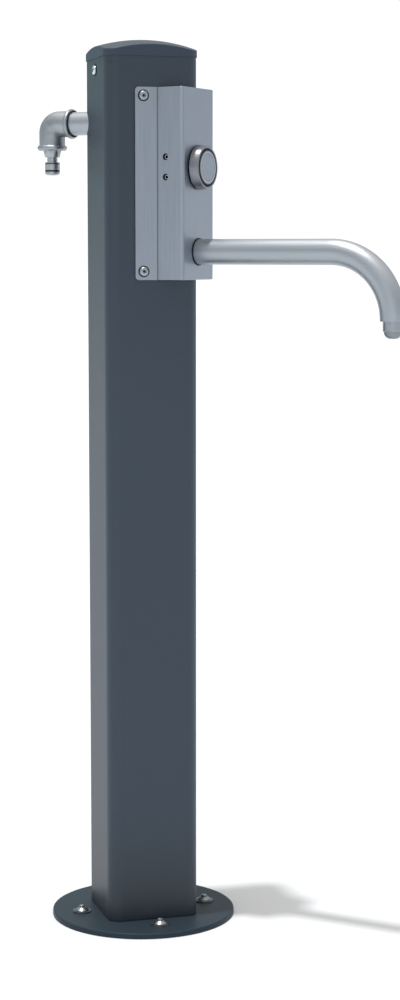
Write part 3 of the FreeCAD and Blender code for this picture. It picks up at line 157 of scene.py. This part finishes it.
# Reliefs: depth and strength
COAT_RELIEF = (0.05 * MM, 0.35)
GRAIN_RELIEF = (0.01 * MM, 0.5)
WAVE_RELIEF = (0.15 * MM, 0.4)
PIT_RELIEF = (0.05 * MM, 0.5)
METAL_RELIEF = (0.01 * MM, 0.3)
RUBBER_RELIEF = (0.02 * MM, 0.4)

# Powder coat
COAT_ROUGHNESS = (0.40, 0.52)
COAT_METAL = 0.15
COAT_CLOUD_SHARE = 0.6

# Painted shade on the post, darker near the foot and the top, with a painted contact shadow line at the
# plate: from one height to another, and the share of black at both
POST_SHADE_BLACK = (0.006, 0.007, 0.009)
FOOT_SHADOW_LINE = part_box("base_plate")[1][2] + 1.7 * MM
FOOT_SHADOW_EDGE = 0.4 * MM
POST_PAINTED_SHADE = [
    (0.0, 0.16, 0.5, 0.0),
    (0.5, 0.95, 0.0, 0.25),
    (FOOT_SHADOW_LINE - FOOT_SHADOW_EDGE, FOOT_SHADOW_LINE, 1.0, 0.0),
]

# Bare metal: roughness where none is given, strength of the clouds in the grain, and the
# roughness where a smear is thinnest and thickest, as a share of the metal's own
BRUSHED_ROUGHNESS = (0.30, 0.42)
CAST_ROUGHNESS = (0.34, 0.5)
GRAIN_CLOUD_SHARE = 0.5
SMEAR_SHINE = 0.85
SMEAR_DULL = 1.2

# Painted shade in the fold between the cover's sides and its flanges: place, and where its
# dark line starts to fade and ends
COVER_FOLD_X = 34.0 * MM
COVER_FOLD_Y = -39.54 * MM
COVER_FOLD_SHADE = (0.2 * MM, 1.3 * MM)
COVER_FOLD_SHADE_COLOUR = (0.16, 0.17, 0.20)

# Painted shade in the screws' sockets: radius, and width of the soft edge
SIDE_SOCKET_SHADE = 1.9 * MM
COVER_SOCKET_SHADE = 1.6 * MM
SOCKET_SHADE_EDGE = 0.3 * MM
SOCKET_SHADE_COLOUR = (0.03, 0.032, 0.036)

# Push button: painted shade at its rim where the gap is, and a painted shade and highlight line inside it,
# measured from its edge
BUTTON_RIM_SHADE = 2.1 * MM
BUTTON_RIM_SHADE_COLOUR = (0.008, 0.009, 0.011)
BUTTON_LINE = 4.3 * MM
BUTTON_LINE_WIDTH = 0.5 * MM
BUTTON_LINE_SHADE = (0.10, 0.11, 0.13)
BUTTON_LINE_HIGHLIGHT = (0.40, 0.44, 0.49)

# Rubber
RUBBER_COLOURS = ((0.006, 0.007, 0.009), (0.016, 0.018, 0.022))
RUBBER_ROUGHNESS = (0.55, 0.75)
RUBBER_SHINE = 0.25

# Black sealing rings that stand for the shade in gaps: steps round, sides of the section, and a power
# that is 1 where the section is an ellipse and less where it is squarer
RING_STEPS = 72
RING_SIDES = 12
RING_SQUARENESS = 0.6
SHADE_SEAL_GAP = 0.05 * MM

# Black rings standing for the shade in the gaps round the spout's foot and the hose pipe in its elbow: reach
# past the tube, thickness
SPOUT_SHADE_SEAL = 1.1 * MM
SPOUT_SHADE_SEAL_THICKNESS = 0.8 * MM
MOUTH_SHADE_SEAL = 1.75 * MM
MOUTH_SHADE_SEAL_THICKNESS = 2.8 * MM
MOUTH_SHADE_SEAL_BACK = 3.2 * MM

# Black ring in the plug's upper groove, standing for the shade at the head's top: radius of the head, the
# groove's top above the plug's foot
PLUG_HEAD = 8.0 * MM
PLUG_GROOVE_RISE = 12.58 * MM
PLUG_GROOVE_DEPTH = 1.15 * MM
PLUG_GROOVE_WIDTH = 0.96 * MM

# Black rings round the screws' heads, standing for the shade at their edges: radius of the head and of the
# ring
SCREW_HEAD = 5.0 * MM
SCREW_HEAD_HEIGHT = 2.8 * MM
SCREW_SHADE_SEAL = 6.0 * MM
SCREW_SHADE_SEAL_THICKNESS = 0.7 * MM

# Levels of the screws on a side
LOWER, ALONE, UPPER = -1, 0, 1


class Tree:
    """The node tree of a material or a world, with short calls for what the looks share."""

    def __init__(self, owner):
        owner.use_nodes = True
        self.tree = owner.node_tree

    def add(self, kind):
        return self.tree.nodes.new(kind)

    def link(self, source, target):
        self.tree.links.new(source, target)

    def feed(self, socket, value):
        """Link another node's output to the socket, or give the socket a plain value."""
        if isinstance(value, bpy.types.NodeSocket):
            self.link(value, socket)
        else:
            socket.default_value = value

    def vectors(self, operation, *values):
        """Arithmetic on vectors, each of them a node's output or plain numbers."""
        node = self.add("ShaderNodeVectorMath")
        node.operation = operation
        for socket, value in zip(node.inputs, values):
            self.feed(socket, value)
        return node.outputs["Value" if operation in ("DOT_PRODUCT", "LENGTH") else "Vector"]

    def ramp(self, source, low, high, at_low=0.0, at_high=1.0, form="SMOOTHSTEP"):
        """A value that goes from at_low to at_high while the source goes from low to high."""
        node = self.add("ShaderNodeMapRange")
        node.interpolation_type = form
        node.inputs["From Min"].default_value = low
        node.inputs["From Max"].default_value = high
        node.inputs["To Min"].default_value = at_low
        node.inputs["To Max"].default_value = at_high
        self.link(source, node.inputs["Value"])
        return node.outputs["Result"]


class Shade(Tree):
    """A material whose noises, ramps and colours lie in object coordinates."""

    def __init__(self, name):
        self.material = bpy.data.materials.new(name)
        super().__init__(self.material)
        self.shader = self.tree.nodes["Principled BSDF"]
        self.place = self.add("ShaderNodeTexCoord").outputs["Object"]

    @property
    def colour(self):
        """The output that colours the material now."""
        return self.shader.inputs["Base Color"].links[0].from_socket

    @colour.setter
    def colour(self, source):
        self.link(source, self.shader.inputs["Base Color"])

    def set(self, **values):
        for name, value in values.items():
            self.shader.inputs[name.replace("_", " ")].default_value = value

    def noise(self, cells, detail, roughness=NOISE_ROUGHNESS, where=None):
        """Noise with that number of cells a metre."""
        node = self.add("ShaderNodeTexNoise")
        node.inputs["Scale"].default_value = cells
        node.inputs["Detail"].default_value = detail
        node.inputs["Roughness"].default_value = roughness
        self.link(self.place if where is None else where, node.inputs["Vector"])
        return node.outputs["Fac"]

    def grain(self, cells):
        """Noise with its own number of cells a metre along each axis."""
        mapping = self.add("ShaderNodeMapping")
        mapping.inputs["Scale"].default_value = cells
        self.link(self.place, mapping.inputs["Vector"])
        return self.noise(1.0, GRAIN_DETAIL, GRAIN_ROUGHNESS, mapping.outputs["Vector"])

    def spread(self, noise, low, high):
        """The range in which most of a noise lies, brought to low and high."""
        return self.ramp(noise, NOISE_LOW, NOISE_HIGH, low, high, "LINEAR")

    def roughen(self, noise, low, high):
        """Roughness from low to high, as a noise says."""
        self.link(self.spread(noise, low, high), self.shader.inputs["Roughness"])

    def height(self, low, high, at_low, at_high):
        """A value that goes from at_low to at_high between two heights."""
        split = self.add("ShaderNodeSeparateXYZ")
        self.link(self.place, split.inputs["Vector"])
        return self.ramp(split.outputs["Z"], low, high, at_low, at_high)

    def radius(self, middle, axis, low, high):
        """0 to 1 between two distances from the line through middle along axis."""
        away = self.vectors("SUBTRACT", self.place, middle)
        across = self.vectors("CROSS_PRODUCT", away, Vector(axis).normalized())
        return self.ramp(self.vectors("LENGTH", across), low, high)

    def blend(self, share, first, second):
        """Two colours, each of them a node's output or plain numbers, mixed by a share."""
        node = self.add("ShaderNodeMix")
        node.data_type = "RGBA"
        factor, *colours = (socket for socket in node.inputs if socket.enabled)
        self.feed(factor, share)
        for socket, value in zip(colours, (first, second)):
            self.feed(socket, (*value, 1.0) if isinstance(value, tuple) else value)
        return next(socket for socket in node.outputs if socket.enabled)

    def bump(self, height, depth, strength):
        """Relief on top of any relief already there."""
        node = self.add("ShaderNodeBump")
        node.inputs["Strength"].default_value = strength
        node.inputs["Distance"].default_value = depth
        self.link(height, node.inputs["Height"])
        before = self.shader.inputs["Normal"].links
        if before:
            self.link(before[0].from_socket, node.inputs["Normal"])
        self.link(node.outputs["Normal"], self.shader.inputs["Normal"])


def between(first, second):
    """The colour halfway between two."""
    return tuple((a + b) / 2 for a, b in zip(first, second))


def powder_coat(name, dark, light, shine):
    """Dark grey metallic powder coat: flake, slow clouds and a slight orange peel."""
    shade = Shade(name)
    flake = shade.spread(shade.noise(*COAT_FLAKE), 0.0, 1.0)
    cloud = shade.spread(shade.noise(*COAT_CLOUD), 0.0, COAT_CLOUD_SHARE)
    shade.colour = shade.blend(cloud, shade.blend(flake, dark, light), between(dark, light))
    shade.roughen(flake, *COAT_ROUGHNESS)
    shade.set(Metallic=COAT_METAL, Specular_IOR_Level=shine)
    shade.bump(shade.noise(*COAT_PEEL), *COAT_RELIEF)
    return shade


def post_coat():
    """The coat on the post, with painted shade: darker towards both ends, and a painted contact shadow line
    at the plate.
    """
    shade = powder_coat("post_coat", (0.0155, 0.031, 0.052), (0.027, 0.047, 0.073), 0.62)
    # Painted shade: darker near the foot and the top, and a painted contact shadow line at the plate
    for shade_band in POST_PAINTED_SHADE:
        shade.colour = shade.blend(shade.height(*shade_band), shade.colour, POST_SHADE_BLACK)
    return shade


def brushed(name, low, high, cells, rough=BRUSHED_ROUGHNESS):
    """Ground metal with a grain and slow clouds."""
    shade = Shade(name)
    grain = shade.grain(cells)
    cloud = shade.spread(shade.noise(*GRAIN_CLOUD), 0.0, GRAIN_CLOUD_SHARE)
    ground = shade.blend(shade.spread(grain, 0.0, 1.0), low, high)
    shade.colour = shade.blend(cloud, ground, between(low, high))
    shade.roughen(grain, *rough)
    shade.set(Metallic=1.0)
    shade.bump(grain, *GRAIN_RELIEF)
    return shade


def cover_metal():
    """The cover's ground sheet, with a painted shade line in the fold between side and flange."""
    shade = brushed("brushed_cover", (0.275, 0.315, 0.37), (0.345, 0.385, 0.44), UPRIGHT_GRAIN)
    # Painted shade: a dark line in each fold
    for side in (-1, 1):
        fold = (COVER_FOLD_X * side, COVER_FOLD_Y, 0.0)
        away = shade.radius(fold, UP, *COVER_FOLD_SHADE)
        shade.colour = shade.blend(away, COVER_FOLD_SHADE_COLOUR, shade.colour)
    return shade


def cast_metal(name, low, high, rough=CAST_ROUGHNESS):
    """Blasted cast metal: fine pits all over and slow waves of the casting."""
    shade = Shade(name)
    pits = shade.noise(*CAST_PITS)
    waves = shade.noise(*CAST_WAVES)
    shade.colour = shade.blend(shade.spread(waves, 0.0, 1.0), low, high)
    shade.roughen(pits, *rough)
    shade.set(Metallic=1.0)
    shade.bump(waves, *WAVE_RELIEF)
    shade.bump(pits, *PIT_RELIEF)
    return shade


def plain_metal(name, low, high, rough):
    """Turned or plated metal: nearly smooth, with faint smears."""
    shade = Shade(name)
    smear = shade.noise(*METAL_SMEAR)
    shade.colour = shade.blend(shade.spread(smear, 0.0, 1.0), low, high)
    shade.roughen(smear, rough * SMEAR_SHINE, rough * SMEAR_DULL)
    shade.set(Metallic=1.0)
    shade.bump(shade.noise(*METAL_TOOTH), *METAL_RELIEF)
    return shade


def button_face():
    """The push button: turned metal with a painted black shade at its rim where the gap is, and a painted
    shade and highlight line inside it.
    """
    low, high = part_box("button_cap")
    middle = (low + high) / 2
    shade = plain_metal("button_face", (0.29, 0.33, 0.385), (0.34, 0.38, 0.445), 0.36)
    # Painted shade and painted highlight: a dark and a light line inside the face
    line = high.x - BUTTON_LINE
    inside = shade.radius(middle, TO_SPOUT, line - BUTTON_LINE_WIDTH, line)
    outside = shade.radius(middle, TO_SPOUT, line, line + BUTTON_LINE_WIDTH)
    turned = shade.blend(inside, shade.colour, BUTTON_LINE_SHADE)
    turned = shade.blend(outside, turned, BUTTON_LINE_HIGHLIGHT)
    # Painted shade: the rim black, and not metallic, where the gap round the button is
    rim_shade = shade.radius(middle, TO_SPOUT, high.x - BUTTON_RIM_SHADE, high.x - BUTTON_RIM_SHADE / 2)
    shade.colour = shade.blend(rim_shade, turned, BUTTON_RIM_SHADE_COLOUR)
    metal = shade.add("ShaderNodeMath")
    metal.operation = "SUBTRACT"
    metal.inputs[0].default_value = 1.0
    shade.link(rim_shade, metal.inputs[1])
    shade.link(metal.outputs["Value"], shade.shader.inputs["Metallic"])
    return shade


def screw_heads(node, directions, levels):
    """Each screw's direction, level and the middle of its head's underside."""
    corners = [vertex.co for vertex in nodes[node].data.vertices]
    middle = sum(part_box(node), Vector()) / 2
    heads = []
    for direction in directions:
        axis = Vector(direction).normalized()
        across = axis.cross(UP)
        side = [corner for corner in corners if (corner - middle).dot(axis) > 0]
        for level in levels:
            screw = [corner for corner in side if (corner.z - middle.z) * level >= 0]
            face = max(corner.dot(axis) for corner in screw) - SCREW_HEAD_HEIGHT
            offsets = [corner.dot(across) for corner in screw]
            heights = [corner.z for corner in screw]
            place = axis * face + across * (min(offsets) + max(offsets)) / 2
            place += UP * (min(heights) + max(heights)) / 2
            heads.append((axis, level, place))
    return heads


def socket_shade_metal(name, low, high, rough, heads, socket):
    """Steel of screws with painted shade in their sockets, of the given radius."""
    shade = plain_metal(name, low, high, rough)
    # Painted shade in each screw's socket
    for axis, _, place in heads:
        away = shade.radius(place, axis, socket - SOCKET_SHADE_EDGE, socket)
        shade.colour = shade.blend(away, SOCKET_SHADE_COLOUR, shade.colour)
    return shade


def rubber():
    """Dull black rubber with a faint bloom."""
    shade = Shade("black_rubber")
    bloom = shade.noise(*RUBBER_BLOOM)
    shade.colour = shade.blend(shade.spread(bloom, 0.0, 1.0), *RUBBER_COLOURS)
    shade.roughen(bloom, *RUBBER_ROUGHNESS)
    shade.set(Specular_IOR_Level=RUBBER_SHINE)
    shade.bump(shade.noise(*RUBBER_TOOTH), *RUBBER_RELIEF)
    return shade


HOUSING_SCREWS = screw_heads("housing_screws", (LEFT_FRONT, RIGHT_FRONT), (LOWER, UPPER))
SIDE_SCREWS = screw_heads("side_screws", (LEFT, RIGHT), (LOWER, UPPER))
CAP_SCREWS = screw_heads("cap_screws", (LEFT_BACK, RIGHT_FRONT), (ALONE,))

# The finish of each material slot: a darker and a lighter colour, then the roughness, or for
# a coat its shine
FINISHES = {
    "coated_steel": post_coat(),
    "brushed_cover": cover_metal(),
    "satin_tube": brushed(
        "satin_tube", (0.355, 0.39, 0.43), (0.41, 0.445, 0.485), SPOUT_GRAIN, (0.36, 0.46)
    ),
    "plated_brass": plain_metal("plated_brass", (0.29, 0.32, 0.35), (0.36, 0.39, 0.42), 0.34),
    "button_metal": plain_metal("button_metal", (0.21, 0.22, 0.25), (0.26, 0.27, 0.30), 0.34),
    "cast_fitting": cast_metal("cast_fitting", (0.28, 0.31, 0.34), (0.38, 0.41, 0.44)),
    "fastener_steel": plain_metal(
        "fastener_steel", (0.34, 0.36, 0.38), (0.44, 0.46, 0.48), 0.30
    ),
    "bracket_steel": brushed(
        "bracket_steel", (0.44, 0.45, 0.46), (0.54, 0.55, 0.56), CROSS_GRAIN
    ),
    "dark_bracket": plain_metal(
        "dark_bracket", (0.015, 0.016, 0.018), (0.03, 0.031, 0.033), 0.5
    ),
    "raw_brass": cast_metal("raw_brass", (0.55, 0.38, 0.15), (0.66, 0.48, 0.22), (0.28, 0.42)),
    "galvanised_pipe": cast_metal(
        "galvanised_pipe", (0.42, 0.44, 0.46), (0.55, 0.57, 0.59), (0.36, 0.55)
    ),
    "black_rubber": rubber(),
}

# Pieces whose finish differs a little from the rest of their slot
OWN_FINISHES = {
    "base_plate": powder_coat("plate_coat", (0.018, 0.029, 0.041), (0.030, 0.044, 0.059), 0.12),
    "post_cap": powder_coat("cap_coat", (0.023, 0.038, 0.060), (0.036, 0.055, 0.082), 0.4),
    "button_cap": button_face(),
    "nozzle_insert": plain_metal("insert_metal", (0.21, 0.24, 0.26), (0.27, 0.30, 0.32), 0.4),
    "housing_screws": socket_shade_metal(
        "cover_screw_steel", (0.32, 0.35, 0.38), (0.40, 0.43, 0.46), 0.36,
        HOUSING_SCREWS, COVER_SOCKET_SHADE,
    ),
    "hose_plug": plain_metal("plug_metal", (0.36, 0.39, 0.42), (0.46, 0.49, 0.52), 0.38),
    "anchor_nuts": plain_metal(
        "anchor_steel", (0.20, 0.215, 0.235), (0.27, 0.285, 0.305), 0.36
    ),
    "anchor_washers": plain_metal(
        "washer_steel", (0.14, 0.155, 0.17), (0.19, 0.205, 0.22), 0.42
    ),
    "cap_screws": plain_metal("cap_screw_steel", (0.58, 0.60, 0.63), (0.68, 0.70, 0.73), 0.24),
    "side_screws": socket_shade_metal(
        "side_screw_steel", (0.72, 0.74, 0.77), (0.82, 0.84, 0.87), 0.20,
        SIDE_SCREWS, SIDE_SOCKET_SHADE,
    ),
}


def dress_nodes():
    """Give every carried-over piece its own finish, or that of its slot in the record."""
    for part in frame["record"]["subparts"]:
        finish = OWN_FINISHES.get(part["node"]) or FINISHES[part["material_slot"]]
        materials = nodes[part["node"]].data.materials
        materials.clear()
        materials.append(finish.material)


def put(name, data):
    """A new object in the scene, made of a mesh, a light or a camera."""
    item = bpy.data.objects.new(name, data)
    bpy.context.scene.collection.objects.link(item)
    return item


def ring_profile(inner, outer, thickness):
    """Distance from the axis and rise of the points round a ring's section."""
    wide = (outer - inner) / 2
    profile = []
    for step in range(RING_SIDES):
        angle = 2 * math.pi * step / RING_SIDES
        out, along = (
            math.copysign(abs(value) ** RING_SQUARENESS, value)
            for value in (math.cos(angle), math.sin(angle))
        )
        profile.append((inner + wide * (1 + out), thickness / 2 * (1 + along)))
    return profile


def make_ring(name, beside, middle, axis, inner, outer, thickness):
    """Black sealing ring with rounded edges that stands for the shade in a gap; its back lies at middle,
    square to the axis.
    """
    turn = Vector(axis).to_track_quat("Z", "Y")
    profile = ring_profile(inner, outer, thickness)
    points, faces = [], []
    for step in range(RING_STEPS):
        angle = 2 * math.pi * step / RING_STEPS
        for radius, rise in profile:
            point = Vector((radius * math.cos(angle), radius * math.sin(angle), rise))
            points.append(Vector(middle) + turn @ point)
        here, there = step * RING_SIDES, (step + 1) % RING_STEPS * RING_SIDES
        for side in range(RING_SIDES):
            after = (side + 1) % RING_SIDES
            faces.append((here + side, there + side, there + after, here + after))
    mesh = bpy.data.meshes.new(name)
    mesh.from_pydata(points, [], faces)
    mesh.polygons.foreach_set("use_smooth", [True] * len(faces))
    # Black rubber that stands for the shade in the gap the ring fills
    mesh.materials.append(FINISHES["black_rubber"].material)
    ring = put(name, mesh)
    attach(ring, body_of(nodes[beside])[0])


def shade_seal_screws(node, heads):
    """A black ring round each screw's head, where the head meets the sheet that it holds, standing for the
    shade at the head's edge.
    """
    for axis, level, place in heads:
        name = f"{node}_seal_{'left' if axis.x < 0 else 'right'}_{level + 1}"
        inner = SCREW_HEAD + SHADE_SEAL_GAP
        make_ring(name, node, place, axis, inner, SCREW_SHADE_SEAL, SCREW_SHADE_SEAL_THICKNESS)


def make_shade_seals():
    """Black sealing rings at the spout's foot, the elbow's mouth, the plug and the screws, standing for the
    shade in those gaps.
    """
    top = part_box("spout_tube")[1]
    foot = (0.0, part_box("valve_housing")[0].y, top.z - top.x)
    inner, outer = top.x + SHADE_SEAL_GAP, top.x + SPOUT_SHADE_SEAL
    make_ring(
        "spout_foot_shade_seal", "valve_housing", foot, TO_SPOUT, inner, outer, SPOUT_SHADE_SEAL_THICKNESS
    )

    low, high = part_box("hose_pipe")
    mouth = (0.0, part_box("hose_elbow")[0].y + MOUTH_SHADE_SEAL_BACK, (low.z + high.z) / 2)
    inner, outer = high.x + SHADE_SEAL_GAP, high.x + MOUTH_SHADE_SEAL
    make_ring(
        "elbow_mouth_shade_seal", "hose_elbow", mouth, TO_SPOUT, inner, outer, MOUTH_SHADE_SEAL_THICKNESS
    )

    low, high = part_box("hose_plug")
    groove = (0.0, (low.y + high.y) / 2, low.z + PLUG_GROOVE_RISE)
    inner = PLUG_HEAD - PLUG_GROOVE_DEPTH
    make_ring(
        "plug_groove_shade_ring", "hose_plug", groove, DOWN, inner, PLUG_HEAD, PLUG_GROOVE_WIDTH
    )

    shade_seal_screws("housing_screws", HOUSING_SCREWS)
    shade_seal_screws("cap_screws", CAP_SCREWS)


def make_spring():
    """The return spring's twin, which shortens between the valve body and the piston."""
    node = nodes["return_spring"]
    spring = put("return_spring_coil", node.data.copy())
    spring.matrix_world = node.matrix_world.copy()
    low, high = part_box("return_spring")
    fixed, moving = (0.0, high.y, low.z), (0.0, low.y, low.z)
    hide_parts("return_spring")
    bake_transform(spring, body_of(node)[0], body_of(nodes["valve_piston"])[0], fixed, moving)


def make_floor():
    """Large white floor round the foot, level with the plate's underside."""
    shade = Shade("floor_white")
    shade.colour = shade.blend(
        shade.spread(shade.noise(*FLOOR_DUST), 0.0, 1.0), *FLOOR_COLOURS
    )
    shade.set(Roughness=FLOOR_ROUGHNESS, Specular_IOR_Level=0.0)
    half = FLOOR_SIZE / 2
    corners = [(-half, -half, 0), (half, -half, 0), (half, half, 0), (-half, half, 0)]
    mesh = bpy.data.meshes.new("floor")
    mesh.from_pydata(corners, [], [(0, 1, 2, 3)])
    mesh.materials.append(shade.material)
    floor = put("floor", mesh)


def make_world():
    """White behind the object for the camera; for the light, a base with soft patches."""
    world = bpy.data.worlds.new("studio")
    bpy.context.scene.world = world
    sky = Tree(world)
    sky.tree.nodes.clear()
    direction = sky.add("ShaderNodeTexCoord").outputs["Generated"]
    light = STUDIO_BASE
    for towards, width, colour in STUDIO_PATCHES:
        # 1 in the patch's middle, 0 where its width ends
        turned = sky.vectors("DOT_PRODUCT", direction, Vector(towards).normalized())
        share = sky.ramp(turned, math.cos(math.radians(width)), 1.0)
        light = sky.vectors("ADD", sky.vectors("MULTIPLY", share, colour), light)
    studio = sky.add("ShaderNodeBackground")
    sky.link(light, studio.inputs["Color"])
    white = sky.add("ShaderNodeBackground")
    white.inputs["Color"].default_value = BACKDROP
    white.inputs["Strength"].default_value = BACKDROP_STRENGTH
    mix = sky.add("ShaderNodeMixShader")
    sources = (
        sky.add("ShaderNodeLightPath").outputs["Is Camera Ray"],
        studio.outputs["Background"],
        white.outputs["Background"],
    )
    for source, socket in zip(sources, mix.inputs):
        sky.link(source, socket)
    out = sky.add("ShaderNodeOutputWorld")
    sky.link(mix.outputs["Shader"], out.inputs["Surface"])


def make_sun():
    """One high sun, which throws the shadow on the floor."""
    light = bpy.data.lights.new("sun", "SUN")
    light.energy = SUN_STRENGTH
    light.angle = SUN_ANGLE
    sun = put("sun", light)
    sun.rotation_euler = SUN_FALL.to_track_quat("-Z", "Y").to_euler()
    sun.location = -SUN_FALL * SUN_DISTANCE


def make_camera():
    """The camera, level from side to side and tilted a little down."""
    lens = bpy.data.cameras.new("camera")
    lens.lens = CAMERA_LENS
    lens.sensor_width = CAMERA_SENSOR
    lens.clip_end = FLOOR_SIZE * 2
    camera = put("camera", lens)
    camera.location = CAMERA_PLACE
    camera.rotation_euler = Euler((math.pi / 2 - CAMERA_DOWN, 0.0, CAMERA_TURN))
    bpy.context.scene.camera = camera


dress_nodes()
make_spring()
make_shade_seals()
make_floor()
make_world()
make_sun()
make_camera()
bpy.context.scene.view_settings.view_transform = "Standard"
